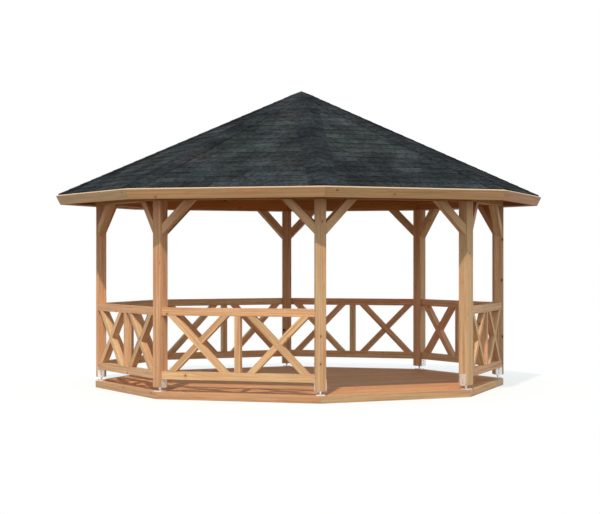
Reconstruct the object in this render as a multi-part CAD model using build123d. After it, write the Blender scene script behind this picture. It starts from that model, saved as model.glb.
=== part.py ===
from build123d import *
import os
from math import atan2, cos, degrees, radians, sin, sqrt, tan

# Open octagonal garden gazebo of planed timber: a low boarded deck, eight square posts on
# adjustable steel feet, cross-braced railings in seven bays, an open entrance bay, a mitred ring
# beam on knee braces and a plain eight-sided shingle roof.
# Millimetres.  Origin: centre of the deck's underside, on the ground.  +Z is up and the entrance
# faces -Y.  A piece of one side is drawn in the side's own frame, with X outwards from the
# centre, Y along the side and Z up, and is then turned about Z to its place.

# ---------------------------------------------------------------- driving dimensions

# plan
side_count = 8
post_circle_radius = 2458.0  # centre of the octagon to the centre of each post

# clearances
joint_gap = 0.3  # between pieces that butt, seat or lap
mitre_gap = 0.5  # across a mitre between two lengths of a ring

# deck
deck_board_thickness = 20.0
joist_depth = 64.0
joist_width = 45.0
joist_pitch = 450.0
edge_board_thickness = 28.0
deck_margin = 10.0  # deck corner beyond the outer face of a post

# posts
post_width = 120.0
post_arris = 3.0  # planed chamfer on the four long edges
post_lift = 50.0  # underside of the post above the deck

# adjustable steel feet
foot_plate_width = 104.0
foot_plate_thickness = 10.0
foot_plate_corner = 8.0
foot_rod_diameter = 20.0
foot_nut_width = 30.0  # across flats
foot_nut_height = 12.0
saddle_thickness = 6.0
saddle_width = 80.0
saddle_rise = 126.0  # ears above the underside of the post
saddle_corner = 16.0  # chamfer on the lower corners of the ears

# railings
rail_depth = 70.0
rail_height = 90.0
rail_face = 60.0  # outer face outwards of the line through the post centres
bottom_rail_height = 140.0  # underside above the deck
handrail_height = 945.0  # top above the deck
mullion_width = 70.0
diagonal_width = 70.0
diagonal_spread = 622.0  # foot centre to head centre, along the rail

# ring beam and knee braces
beam_underside = 2145.0  # above the deck
beam_height = 220.0
beam_thickness = 90.0
beam_face = 62.0  # outer face outwards of the line through the post centres
brace_width = 90.0
brace_thickness = 90.0
brace_reach = 432.0  # centre of the post to the brace's lower edge, along the beam

# roof
roof_pitch = 25.0  # slope of each face, degrees
rafter_depth = 95.0  # square to the slope
hip_width = 60.0
mid_rafter_width = 45.0
birdsmouth = 30.0  # plumb cut of a rafter against the outer face of the beam
roof_board_thickness = 20.0
shingle_thickness = 8.0
shingle_setback = 36.0  # outer face of the fascia to the edge of the shingles, along the slope
fascia_thickness = 36.0
fascia_width = 118.0
eave_overhang = 447.0  # outer face of the beam to the outer face of the fascia, level
apex_block_width = 180.0  # across flats
apex_block_drop = 60.0  # below the underside of the rafters that meet it
apex_block_corner = 20.0

# ---------------------------------------------------------------- what follows from them

half_angle = 180.0 / side_count
half_turn = radians(half_angle)
pitch = radians(roof_pitch)

side_names = ["right", "back_right", "back", "back_left", "left", "front_left", "front", "front_right"]
side_angles = {name: 2 * half_angle * n for n, name in enumerate(side_names)}
post_angles = [2 * half_angle * n + half_angle for n in range(side_count)]
entrance = "front"

post_line = post_circle_radius * cos(half_turn)  # centre to the line through two post centres
half_bay = post_circle_radius * sin(half_turn)  # middle of a side to the centre of its post

deck_top = joist_depth + deck_board_thickness
deck_corner_radius = post_circle_radius + post_width / 2 + deck_margin
deck_apothem = deck_corner_radius * cos(half_turn)

post_foot = deck_top + post_lift
beam_bottom = deck_top + beam_underside
beam_top = beam_bottom + beam_height
beam_outer = post_line + beam_face
beam_inner = beam_outer - beam_thickness

# Heights of the roof planes at the centre of the octagon.  The rafters' underside is set by the
# birdsmouth on the beam, and each layer above it is measured square to the slope.
rafter_underside_apex = beam_top - birdsmouth + beam_outer * tan(pitch)
board_underside_apex = rafter_underside_apex + rafter_depth / cos(pitch)
board_top_apex = board_underside_apex + roof_board_thickness / cos(pitch)
hip_slope = tan(pitch) * cos(half_turn)
fascia_outer = (beam_outer + eave_overhang) / cos(pitch)  # along the slope from the centre
fascia_inner = fascia_outer - fascia_thickness

reach = 2 * post_circle_radius  # longer than anything that it cuts
top_of_everything = 2 * board_top_apex

# ---------------------------------------------------------------- helpers


def prism_across(points, half_length):
    """A solid with an outline in X and Z, running both ways along Y."""
    outline = Plane.XZ * make_face(Polyline(*points, close=True))
    return extrude(outline, amount=half_length, both=True)


def prism_outwards(points, start, depth):
    """A solid with an outline in Y and Z, running outwards along X from start."""
    outline = Plane.YZ * make_face(Polyline(*points, close=True))
    return Pos(start, 0, 0) * extrude(outline, amount=depth)


def sector(inset):
    """The wedge of one side between its two corner planes, each moved inwards by inset."""
    tip = inset / sin(half_turn)
    half_width = reach * tan(half_turn) - inset / cos(half_turn)
    outline = make_face(Polyline((tip, 0), (reach, half_width), (reach, -half_width), close=True))
    return extrude(outline, amount=top_of_everything, both=True)


def octagon(apothem):
    """A level octagon with its flats across X and Y."""
    return RegularPolygon(apothem, side_count, major_radius=False, rotation=half_angle)


def box_between(low, high):
    size = [h - l for l, h in zip(low, high)]
    return Pos(*low) * Box(*size, align=(Align.MIN, Align.MIN, Align.MIN))


def slope_point(along, above):
    """A point of a side's section: along the slope, and above the top of the roof boards."""
    x = along * cos(pitch) + above * sin(pitch)
    z = board_top_apex - along * sin(pitch) + above * cos(pitch)
    return (x, z)


def slope_layer(bottom, top, end):
    """A layer of one side's roof, square to the slope, from the centre line to its eave."""
    start = -rafter_depth  # past the centre line, where the sectors trim it
    points = [slope_point(start, top), slope_point(end, top), slope_point(end, bottom)]
    points.append(slope_point(start, bottom))
    return prism_across(points, reach)


def turned(angle, solids):
    return [Rot(0, 0, angle) * solid for solid in solids]


def on_every_side(solids):
    return [piece for angle in side_angles.values() for piece in turned(angle, solids)]


def on_every_post(solids):
    return [piece for angle in post_angles for piece in turned(angle, solids)]


def write(node, shapes):
    solids = [solid for shape in shapes for solid in shape.solids()]
    export_step(Compound(solids), f"parts/{node}.step")
    litres = sum(solid.volume for solid in solids) / 1e6
    print(f"{node:24s} {len(solids):3d} solids {litres:9.2f} litres")


# ---------------------------------------------------------------- deck


def deck_edge_board():
    outer = deck_apothem
    inner = deck_apothem - edge_board_thickness
    board = prism_across([(inner, 0), (outer, 0), (outer, deck_top), (inner, deck_top)], reach)
    return board & sector(mitre_gap / 2)


def deck_platform():
    platform = octagon(deck_apothem - edge_board_thickness - joint_gap)
    return Pos(0, 0, joist_depth) * extrude(platform, amount=deck_board_thickness)


def deck_joists():
    """Joists on edge from front to back, each cut to the octagon of the edge boards."""
    inside = deck_apothem - edge_board_thickness - joint_gap
    field = extrude(octagon(inside), amount=joist_depth - joint_gap)
    count_each_way = int((inside - joist_width) / joist_pitch)
    joists = []
    for n in range(-count_each_way, count_each_way + 1):
        middle = n * joist_pitch
        low = (middle - joist_width / 2, -reach, 0)
        high = (middle + joist_width / 2, reach, joist_depth)
        joists.append(box_between(low, high) & field)
    return joists


# ---------------------------------------------------------------- posts and feet


def post():
    section = chamfer(Rectangle(post_width, post_width).vertices(), post_arris)
    length = beam_bottom - joint_gap - post_foot
    return Pos(post_circle_radius, 0, post_foot) * extrude(section, amount=length)


def foot_base():
    """Plate on the deck with a welded rod and the nut that sets the height of the saddle."""
    corners = Rectangle(foot_plate_width, foot_plate_width).vertices()
    plate = extrude(chamfer(corners, foot_plate_corner), amount=foot_plate_thickness)
    rod_length = post_lift - saddle_thickness - joint_gap
    rod = Cylinder(foot_rod_diameter / 2, rod_length, align=(Align.CENTER, Align.CENTER, Align.MIN))
    nut_outline = RegularPolygon(foot_nut_width / 2, 6, major_radius=False)
    nut = Pos(0, 0, rod_length - foot_nut_height) * extrude(nut_outline, amount=foot_nut_height)
    return Pos(post_circle_radius, 0, deck_top) * (plate + rod + nut)


def foot_saddle():
    """U of bent plate under the post, with an ear on each of the two faces that meet railings."""
    inner = post_width / 2 + joint_gap
    outer = inner + saddle_thickness
    floor = -joint_gap
    under = floor - saddle_thickness
    points = [(-outer, under), (outer, under), (outer, saddle_rise), (inner, saddle_rise)]
    points += [(inner, floor), (-inner, floor), (-inner, saddle_rise), (-outer, saddle_rise)]
    saddle = prism_outwards(points, -saddle_width / 2, saddle_width)
    half = saddle_width / 2
    cut = saddle_corner
    side = [(-half + cut, under), (half - cut, under), (half, under + cut), (half, saddle_rise)]
    side += [(-half, saddle_rise), (-half, under + cut)]
    clipped = saddle & prism_across(side, post_width)
    return Pos(post_circle_radius, 0, post_foot) * clipped


def space_of_post():
    """What a railing or brace has to stay clear of at each end: the post and the saddle's ears."""
    width = post_width + 2 * joint_gap
    over_ears = width + 2 * (saddle_thickness + joint_gap)
    ears_top = post_foot + saddle_rise + joint_gap
    trunk = Box(width, width, beam_top, align=(Align.CENTER, Align.CENTER, Align.MIN))
    ears = Box(width, over_ears, ears_top, align=(Align.CENTER, Align.CENTER, Align.MIN))
    space = Pos(post_circle_radius, 0, 0) * (trunk + ears)
    return Rot(0, 0, half_angle) * space + Rot(0, 0, -half_angle) * space


# ---------------------------------------------------------------- railings


def diagonal(foot, head, low, high, width, inner, depth):
    """Straight bar leaning along Y from foot to head, with level cuts at its two ends."""
    lean = atan2(high - low, abs(head - foot))
    half_cut = width / 2 / sin(lean)
    points = [(foot - half_cut, low), (foot + half_cut, low)]
    points += [(head + half_cut, high), (head - half_cut, high)]
    return prism_outwards(points, inner, depth)


def lapped_cross(middle, low, high, inner):
    """Two diagonals halved over each other where they cross, flush on both faces."""
    left = middle - diagonal_spread / 2
    right = middle + diagonal_spread / 2
    half_depth = rail_depth / 2
    notch_width = diagonal_width + 2 * joint_gap
    notch_depth = half_depth + joint_gap / 2
    rising = diagonal(left, right, low, high, diagonal_width, inner, rail_depth)
    falling = diagonal(right, left, low, high, diagonal_width, inner, rail_depth)
    from_outside = inner + half_depth - joint_gap / 2
    falling_notch = diagonal(right, left, low, high, notch_width, from_outside, rail_depth)
    rising_notch = diagonal(left, right, low, high, notch_width, inner - half_depth, rail_depth)
    inner_stop = box_between((0, -reach, 0), (inner + notch_depth, reach, top_of_everything))
    return [rising - falling_notch, falling - (rising_notch & inner_stop)]


def railing():
    outer = post_line + rail_face
    inner = outer - rail_depth
    bottom = deck_top + bottom_rail_height
    top = deck_top + handrail_height
    opening_low = bottom + rail_height
    opening_high = top - rail_height
    low = opening_low + joint_gap
    high = opening_high - joint_gap
    posts = space_of_post()
    lower_rail = box_between((inner, -half_bay, bottom), (outer, half_bay, opening_low)) - posts
    handrail = box_between((inner, -half_bay, opening_high), (outer, half_bay, top)) - posts
    mullion = box_between((inner, -mullion_width / 2, low), (outer, mullion_width / 2, high))
    post_side = half_bay - (post_width / 2 - rail_face * sin(half_turn)) / cos(half_turn)
    panel_middle = (post_side + mullion_width / 2) / 2  # set out on the outer face
    pieces = [lower_rail, handrail, mullion]
    pieces += lapped_cross(-panel_middle, low, high, inner)
    pieces += lapped_cross(panel_middle, low, high, inner)
    return pieces


# ---------------------------------------------------------------- ring beam and knee braces


def beam_section(clearance):
    low = beam_bottom - clearance
    high = beam_top + clearance
    inner = beam_inner - clearance
    outer = beam_outer + clearance
    return [(inner, low), (outer, low), (outer, high), (inner, high)]


def ring_beam():
    return prism_across(beam_section(0), reach) & sector(mitre_gap / 2)


def knee_braces():
    """Two struts at 45 degrees, mitred to the slanting faces of the posts and to the beam."""
    start = beam_outer - brace_thickness
    top = beam_bottom - joint_gap
    drop = brace_width * sqrt(2)
    foot = beam_bottom - brace_reach
    posts = space_of_post()
    braces = []
    for way in (-1, 1):
        at_post = way * half_bay
        points = [(at_post, foot), (at_post - way * (top - foot), top)]
        points += [(at_post - way * (top - foot - drop), top), (at_post, foot + drop)]
        braces.append(prism_outwards(points, start, brace_thickness) - posts)
    return braces


# ---------------------------------------------------------------- roof


def space_of_beams():
    one_side = prism_across(beam_section(joint_gap), reach) & sector(0)
    return Rot(0, 0, half_angle) * one_side + Rot(0, 0, -half_angle) * one_side


def under_roof():
    """All that lies under one side's boards and inside its fascia, less a joint's clearance."""
    top = -roof_board_thickness - joint_gap
    end = fascia_inner - joint_gap
    deep = -fascia_width - 2 * rafter_depth
    points = [slope_point(-reach, top), slope_point(end, top), slope_point(end, deep)]
    points.append(slope_point(-reach, deep))
    return prism_across(points, reach)


def hip_rafter():
    """Rafter of one corner, drawn along X: backed to both slopes and notched over the beams."""
    start = apex_block_width / 2 + joint_gap
    end = fascia_outer
    depth = rafter_depth / cos(pitch)
    top = [board_underside_apex - x * hip_slope for x in (start, end)]
    points = [(start, top[0]), (end, top[1]), (end, top[1] - depth), (start, top[0] - depth)]
    hip = prism_across(points, hip_width / 2)
    for way in (-1, 1):
        hip = hip & (Rot(0, 0, way * half_angle) * under_roof())
    return hip - space_of_beams()


def mid_rafter():
    """Rafter up the middle of one side, with a pointed head between the two hips."""
    start = apex_block_width / 2 / cos(half_turn) + joint_gap
    end = fascia_outer
    depth = rafter_depth / cos(pitch)
    top = [board_underside_apex - x * tan(pitch) for x in (start, end)]
    points = [(start, top[0]), (end, top[1]), (end, top[1] - depth), (start, top[0] - depth)]
    rafter = prism_across(points, mid_rafter_width / 2) & under_roof()
    beam = prism_across(beam_section(joint_gap), reach)
    return (rafter - beam) & sector(hip_width / 2 + joint_gap)


def apex_block():
    """Eight-sided block that the hips meet, pointed on top to follow the roof boards."""
    across = apex_block_width / 2
    hips_low = rafter_underside_apex - across * hip_slope
    low = hips_low - apex_block_drop
    high = board_underside_apex
    outline = RegularPolygon(across, side_count, major_radius=False)
    block = Pos(0, 0, low) * extrude(outline, amount=high - low)
    block = chamfer(block.faces().sort_by(Axis.Z)[0].edges(), apex_block_corner)
    for angle in side_angles.values():
        block = block & (Rot(0, 0, angle) * under_roof())
    return block


def roof_boarding():
    layer = slope_layer(-roof_board_thickness, 0, fascia_inner - joint_gap)
    return layer & sector(mitre_gap / 2)


def shingle_covering():
    """One continuous skin over all eight slopes, pointed at the top."""
    end = fascia_outer - shingle_setback
    side = slope_layer(joint_gap, joint_gap + shingle_thickness, end) & sector(0)
    skin = Part()
    for angle in side_angles.values():
        skin = skin + Rot(0, 0, angle) * side
    return skin


def fascia_board():
    """Eave board square to the slope, so its ends are compound mitres."""
    points = [slope_point(fascia_inner, 0), slope_point(fascia_outer, 0)]
    points += [slope_point(fascia_outer, -fascia_width), slope_point(fascia_inner, -fascia_width)]
    return prism_across(points, reach) & sector(mitre_gap / 2)


# ---------------------------------------------------------------- build and write

os.makedirs("parts", exist_ok=True)

write("deck_joists", deck_joists())
write("deck_boards", [deck_platform()])
write("deck_edge", on_every_side([deck_edge_board()]))

for number, angle in enumerate(post_angles, start=1):
    write(f"post_{number}", turned(angle, [post()]))
write("post_feet", on_every_post([foot_base(), foot_saddle()]))

railing_pieces = railing()
brace_pieces = knee_braces()
beam_piece = ring_beam()
for name, angle in side_angles.items():
    if name != entrance:
        write(f"railing_{name}", turned(angle, railing_pieces))
    write(f"knee_braces_{name}", turned(angle, brace_pieces))
    write(f"ring_beam_{name}", turned(angle, [beam_piece]))

write("hip_rafters", on_every_post([hip_rafter()]))
write("mid_rafters", on_every_side([mid_rafter()]))
write("apex_block", [apex_block()])
write("roof_boards", on_every_side([roof_boarding()]))
write("shingles", [shingle_covering()])
write("fascia", on_every_side([fascia_board()]))

print(f"overall height {board_top_apex + (joint_gap + shingle_thickness) / cos(pitch):.1f} mm")
print(f"across the flats of the roof {2 * (beam_outer + eave_overhang):.1f} mm")
diagonal_rise = handrail_height - bottom_rail_height - 2 * rail_height
print(f"lean of the diagonals {degrees(atan2(diagonal_rise, diagonal_spread)):.1f} degrees")
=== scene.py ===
# %% [markdown]
# # An open octagonal garden gazebo
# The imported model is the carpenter's frame: every timber has its real size and place. This
# script dresses that frame. It eases the sharp arrises, lays the separate deck boards, roof
# boards and shingles that the frame holds as plain slabs, drives the screws, and gives each
# surface its finish. Lengths are in metres, the deck's underside is at z = 0, and the open
# entrance faces -Y.

# %% Load the frame
from math import atan2, cos, pi, radians, sin, sqrt, tan
from random import Random

import bmesh
import bpy
from mathutils import Matrix, Vector


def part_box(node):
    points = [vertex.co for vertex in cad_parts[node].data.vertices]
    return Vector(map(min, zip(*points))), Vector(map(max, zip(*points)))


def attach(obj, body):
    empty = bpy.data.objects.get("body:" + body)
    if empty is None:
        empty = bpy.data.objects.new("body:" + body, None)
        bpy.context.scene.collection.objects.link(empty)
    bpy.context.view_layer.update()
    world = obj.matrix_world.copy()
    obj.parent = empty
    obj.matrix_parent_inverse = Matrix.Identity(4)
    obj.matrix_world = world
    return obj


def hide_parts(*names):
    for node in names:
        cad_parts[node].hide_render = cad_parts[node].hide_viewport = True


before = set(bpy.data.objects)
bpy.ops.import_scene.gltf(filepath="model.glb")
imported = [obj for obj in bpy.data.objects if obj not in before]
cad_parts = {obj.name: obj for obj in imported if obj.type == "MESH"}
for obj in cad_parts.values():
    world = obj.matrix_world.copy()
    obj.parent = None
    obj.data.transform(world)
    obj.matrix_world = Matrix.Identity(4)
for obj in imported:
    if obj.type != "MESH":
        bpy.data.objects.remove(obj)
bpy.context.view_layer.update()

# %% [markdown]
# ## Measuring the frame
# A joiner measures what is standing before cutting anything to fit it. Here the sizes come from
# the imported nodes: the slab gives the room for the deck boards, and the slope of the roof is
# read from the normal of one face of the roof boarding. Nothing is measured twice, so a changed
# frame changes every piece that is fitted to it.

# %% Sizes taken from the frame
SIDES = 8
HALF_TURN = pi / SIDES  # from the middle of a side to the post at its end
SIDE_ANGLES = [2 * HALF_TURN * n for n in range(SIDES)]
POST_ANGLES = [angle + HALF_TURN for angle in SIDE_ANGLES]


def slope_plane(node, facing_up):
    """Pitch of the slope that faces +X, and the height where its plane meets the centre line."""
    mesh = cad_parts[node].data
    way = 1 if facing_up else -1
    for face in mesh.polygons:
        normal = face.normal * way
        if abs(normal.y) < 0.01 and normal.x > 0.1 and normal.z > 0.8:
            corner = mesh.vertices[face.vertices[0]].co
            slope = normal.x / normal.z
            return atan2(normal.x, normal.z), corner.z + corner.x * slope
    raise ValueError("no such slope on " + node)


pitch, boards_top_apex = slope_plane("roof_boards", True)
_, boards_under_apex = slope_plane("roof_boards", False)
roof_board_thickness = (boards_top_apex - boards_under_apex) * cos(pitch)
boards_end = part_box("roof_boards")[1].x / cos(pitch)  # along the slope, from the centre line
shingle_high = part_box("shingles")[1]
shingle_end = shingle_high.x / cos(pitch)
fascia_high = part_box("fascia")[1]
slab_low, slab_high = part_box("deck_boards")
post_low, post_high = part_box("post_1")
post_radius = ((post_low + post_high) / 2).xy.length
print("roof pitch", round(pitch * 180 / pi, 2), "degrees")
print("roof boards", round(roof_board_thickness * 1000, 1), "mm thick")
print("slope length", round(boards_end, 3), "m, post circle radius", round(post_radius, 3), "m")

# %% [markdown]
# ## Short hands for node trees
# Materials and Geometry Nodes are both trees of nodes. The class below adds a node, fills its
# inputs and hands back one output, so that a tree reads from top to bottom like a recipe. The
# alternative is to make each node and each link on lines of their own, which is much longer.

# %% A recipe book for node trees


class Recipe:
    def __init__(self, tree):
        self.tree = tree

    def add(self, kind, inputs=None, out=0, **settings):
        """A new node with its settings and inputs; gives back one of its outputs."""
        node = self.tree.nodes.new(kind)
        for name, value in settings.items():
            setattr(node, name, value)
        self.fill(node, inputs or {})
        return node.outputs[out]

    def fill(self, node, inputs):
        """Sets a node's inputs to plain values, or links them to the outputs of other nodes."""
        for key, value in inputs.items():
            socket = node.inputs[key]
            if isinstance(value, bpy.types.NodeSocket):
                self.tree.links.new(value, socket)
            else:
                socket.default_value = value

    def math(self, operation, *values):
        return self.add("ShaderNodeMath", dict(enumerate(values)), operation=operation)

    def vector(self, operation, *values, out=0):
        inputs = dict(enumerate(values))
        return self.add("ShaderNodeVectorMath", inputs, out, operation=operation)

    def combine(self, x=0.0, y=0.0, z=0.0):
        return self.add("ShaderNodeCombineXYZ", {0: x, 1: y, 2: z})

    def separate(self, vector):
        node = self.add("ShaderNodeSeparateXYZ", {0: vector}).node
        return node.outputs[0], node.outputs[1], node.outputs[2]

    def ramp(self, value, low, high, to_low=0.0, to_high=1.0, smooth=True):
        """Turns a range of values into another one, smoothly, and holds it at both ends."""
        kind = "SMOOTHSTEP" if smooth else "LINEAR"
        inputs = {0: value, 1: low, 2: high, 3: to_low, 4: to_high}
        return self.add("ShaderNodeMapRange", inputs, interpolation_type=kind, clamp=True)

    def mix(self, factor, first, second, blend="MIX"):
        """A blend of two colours."""
        node = self.tree.nodes.new("ShaderNodeMix")
        node.data_type = "RGBA"
        node.blend_type = blend
        self.fill(node, {0: factor, 6: first, 7: second})
        return node.outputs[2]

    def noise(self, vector, scale, detail=2.0, roughness=0.5, out=0):
        inputs = {"Vector": vector, "Scale": scale, "Detail": detail, "Roughness": roughness}
        return self.add("ShaderNodeTexNoise", inputs, out=out)


def colour(red, green, blue):
    return (red, green, blue, 1.0)


def new_material(name):
    """A material with the recipe for its tree, and its shader."""
    material = bpy.data.materials.new(name)
    material.use_nodes = True
    return material, Recipe(material.node_tree), material.node_tree.nodes["Principled BSDF"]


def attribute(recipe, name, out="Fac"):
    """What each point or face of a mesh carries under a name."""
    return recipe.add("ShaderNodeAttribute", out=out, attribute_name=name)


print("recipes ready")

# %% [markdown]
# ## The timber finish
# Planed softwood is not one brown. A board is a slice through a tree, so the honest way to
# colour it is to build the tree: rings round a pith, bent a little by the years, crossed by
# knots that grow outwards from the pith. Every timber carries an attribute called grain, which
# is its own lengthwise, crosswise and depthwise place, so the same tree gives straight lines on
# a face and arcs on an end. A flat image would need unwrapping and would repeat.

# %% Knots, and the grain that bends round them
RING_SPACING = 0.0062
RING_BEND = 0.040  # how far the years pull a ring out of round
PITH_SLANT = 0.007  # a timber is never sawn quite along its pith
KNOT_EVERY = 0.42
KNOT_RADIUS = 0.013
KNOTS_ROUND = 0.32  # how many cells of knots go to one radian round the pith


def stretched(r, grain, lengthwise, crosswise):
    """The grain's own place, drawn out along the timber."""
    return r.vector("MULTIPLY", grain, (lengthwise, crosswise, crosswise))


def knots(r, grain):
    """How close a point is to the middle of a knot, and to the grain that bends round it."""
    along, across, deep = r.separate(grain)
    turn = r.math("ARCTAN2", deep, across)
    place = r.combine(r.math("DIVIDE", along, KNOT_EVERY), r.math("MULTIPLY", turn, KNOTS_ROUND), 0.0)
    cell = {"Vector": place, "Scale": 1.0, "Randomness": 1.0}
    branch = r.add("ShaderNodeTexVoronoi", cell, voronoi_dimensions="2D").node
    chance, size, _ = r.separate(branch.outputs["Color"])
    thick = KNOT_RADIUS / KNOT_EVERY
    reach = r.math("MULTIPLY_ADD", size, 0.85 * thick, 0.50 * thick)
    reach = r.math("MULTIPLY", reach, r.ramp(chance, 0.30, 0.40))
    reach = r.math("MAXIMUM", reach, 0.0001)
    nearness = r.math("DIVIDE", branch.outputs["Distance"], reach)
    return r.ramp(nearness, 1.25, 0.75), r.ramp(nearness, 4.0, 0.8)


def year_lines(r, grain, halo):
    """The dark latewood lines: each year starts pale and ends in a thin dark line."""
    along, across, deep = r.separate(grain)
    bend = r.noise(stretched(r, grain, 0.9, 5.0), 1.0, 3.0, out="Color")
    bend_x, bend_y, _ = r.separate(r.vector("SUBTRACT", bend, (0.5, 0.5, 0.5)))
    ring_y = r.math("MULTIPLY_ADD", bend_x, RING_BEND, across)
    ring_z = r.math("MULTIPLY_ADD", bend_y, RING_BEND, deep)
    square = r.math("ADD", r.math("MULTIPLY", ring_y, ring_y), r.math("MULTIPLY", ring_z, ring_z))
    radius = r.math("MULTIPLY_ADD", along, PITH_SLANT, r.math("SQRT", square))
    radius = r.math("MULTIPLY_ADD", halo, 0.007, radius)
    year = r.math("FRACT", r.math("DIVIDE", radius, RING_SPACING))
    line = r.math("MULTIPLY", r.ramp(year, 0.35, 0.93), r.ramp(year, 1.0, 0.94))
    years = r.combine(r.math("MULTIPLY", radius, 22.0), r.math("MULTIPLY", along, 0.15), 0.0)
    return r.math("MULTIPLY", line, r.ramp(r.noise(years, 1.0, 3.0), 0.3, 0.7, 0.25, 1.0))


print("rings", RING_SPACING * 1000, "mm apart, a knot about every", KNOT_EVERY, "m")

# %% Softwood
LINE_DEPTH = 0.55
WEATHERED = 0.25  # how grey the most aged clouds are
# the colour of painted sunlight on upward faces
PAINTED_SUNLIGHT = colour(0.570, 0.430, 0.325)
KNOT = colour(0.110, 0.045, 0.022)
ROSY = colour(1.05, 0.93, 0.90)
OLIVE = colour(0.93, 1.04, 1.04)


def fibres_and_streaks(r, grain, fibre, wood, lighter, late):
    """Draws what is longer and finer than the rings: streaks, bands, fibres and pores."""
    pores = r.noise(stretched(r, grain, 22.0, 1300.0), 1.0, 2.0, 0.5)
    streak = r.noise(stretched(r, grain, 0.8, 34.0), 1.0, 4.0, 0.55)
    band = r.noise(stretched(r, grain, 1.6, 80.0), 1.0, 3.0, 0.6)
    for pattern, low, high, strength, tint in (
        (streak, 0.46, 0.68, 0.62, late),
        (streak, 0.52, 0.32, 0.55, lighter),
        (band, 0.46, 0.66, 0.42, late),
        (band, 0.50, 0.34, 0.30, lighter),
        (fibre, 0.36, 0.68, 0.36, late),
        (pores, 0.52, 0.74, 0.42, late),
        (pores, 0.46, 0.28, 0.35, lighter),
    ):
        wood = r.mix(r.ramp(pattern, low, high, 0.0, strength), wood, tint)
    return wood


def timber_material(name, pale, late, roughness, sunlight_share=0.0):
    """Softwood from a pale earlywood and a darker latewood."""
    material, r, shader = new_material(name)
    grain = attribute(r, "grain", "Vector")
    tone = attribute(r, "tone")
    core, halo = knots(r, grain)
    line = year_lines(r, grain, halo)
    fibre = r.noise(stretched(r, grain, 9.0, 420.0), 1.0, 3.0, 0.6)
    lighter = colour(*[min(1.0, c * 1.22) for c in pale[:3]])
    wood = r.mix(r.math("MULTIPLY", line, LINE_DEPTH), pale, late)
    wood = fibres_and_streaks(r, grain, fibre, wood, lighter, late)

    # each timber comes from another tree: some are redder, some greener, some a little grey
    cloud = r.noise(stretched(r, grain, 1.7, 10.0), 1.0, 3.0, 0.6)
    cast = r.noise(stretched(r, grain, 1.1, 7.0), 1.7, 2.0, 0.5)
    own = {"W": r.math("MULTIPLY", tone, 91.7)}
    tree = r.add("ShaderNodeTexWhiteNoise", own, noise_dimensions="1D")
    lean = r.math("ADD", r.math("MULTIPLY", tree, 0.6), r.math("MULTIPLY", cast, 0.7))
    wood = r.mix(r.ramp(lean, 0.62, 0.95, 0.0, 0.9), wood, ROSY, "MULTIPLY")
    wood = r.mix(r.ramp(lean, 0.62, 0.30, 0.0, 0.9), wood, OLIVE, "MULTIPLY")
    grey = colour(0.42 * pale[0] + 0.12, 0.55 * pale[1] + 0.11, 0.75 * pale[2] + 0.065)
    aged = r.math("MULTIPLY", r.ramp(cloud, 0.45, 0.75), r.ramp(tone, 0.30, 0.95, 0.25, 1.0))
    wood = r.mix(r.math("MULTIPLY", aged, WEATHERED), wood, grey)
    level = r.ramp(tone, 0.0, 1.0, 0.93, 1.06, smooth=False)
    deeper = r.math("MULTIPLY", level, level)
    wood = r.mix(1.0, wood, r.combine(level, deeper, deeper), "MULTIPLY")

    # ends are darker, eased arrises get a painted highlight, and the upward faces of an eave board get
    # painted sunlight
    wood = r.mix(r.math("MULTIPLY", attribute(r, "endgrain"), 0.38), wood, late)
    wood = r.mix(r.math("MULTIPLY", attribute(r, "arris"), 0.18), wood, lighter)
    if sunlight_share:
        wood = r.mix(r.math("MULTIPLY", attribute(r, "sunlit_top"), sunlight_share), wood, PAINTED_SUNLIGHT)
    wood = r.mix(r.math("MULTIPLY", halo, 0.30), wood, late)
    wood = r.mix(r.math("MULTIPLY", core, 0.88), wood, KNOT)

    gloss = r.math("MULTIPLY_ADD", fibre, 0.16, roughness - 0.08)
    gloss = r.math("MULTIPLY_ADD", line, -0.08, gloss)
    height = r.math("ADD", r.math("MULTIPLY", fibre, 0.55), r.math("MULTIPLY", line, 0.35))
    height = r.math("MULTIPLY_ADD", core, 0.5, height)
    bump = r.add("ShaderNodeBump", {"Strength": 0.35, "Distance": 0.0006, "Height": height})
    r.fill(shader, {"Base Color": wood, "Roughness": gloss, "Specular IOR Level": 0.22})
    r.fill(shader, {"Normal": bump})
    return material


AMBER = colour(0.455, 0.228, 0.103)
SHADED_LATEWOOD = colour(0.350, 0.135, 0.040)
post_timber = timber_material("post_timber", colour(0.690, 0.448, 0.264), AMBER, 0.64)
railing_timber = timber_material("railing_timber", colour(0.780, 0.490, 0.280), AMBER, 0.62)
edge_timber = timber_material("edge_timber", colour(0.650, 0.400, 0.230), AMBER, 0.66)
# the frame and the roof boards are the same softwood drawn darker and redder: painted shade under the
# roof, with painted warm light bounced up from the deck
frame_timber = timber_material("frame_timber", colour(0.560, 0.255, 0.076), SHADED_LATEWOOD, 0.66)
boarding = timber_material("roof_board_timber", colour(0.480, 0.230, 0.085), SHADED_LATEWOOD, 0.68)
DECK_PALE = colour(0.780, 0.385, 0.178)
DECK_LATE = colour(0.51, 0.215, 0.09)
deck_timber = timber_material("deck_timber", DECK_PALE, DECK_LATE, 0.68)
FASCIA_PALE = colour(0.580, 0.345, 0.185)
FASCIA_LATE = colour(0.41, 0.21, 0.093)
# the fascia's upward faces are drawn paler as painted sunlight
fascia_timber = timber_material("fascia_timber", FASCIA_PALE, FASCIA_LATE, 0.62, sunlight_share=0.85)
print("timber materials", [m.name for m in bpy.data.materials])

# %% [markdown]
# ## Easing the carpenter's timbers
# A sawn solid has edges of no width, which no planed timber has, and without an eased arris
# nothing catches the light. Each node of the frame is copied, its loose triangles are merged
# into whole faces, every edge is rounded by a few millimetres, and the copy stands for the
# node. The longest edge of each solid tells which way its grain runs. A square post has many
# edges of one length, and one of them is then picked by its place, so that every run of the
# script cuts the same timber from the same tree.

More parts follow.
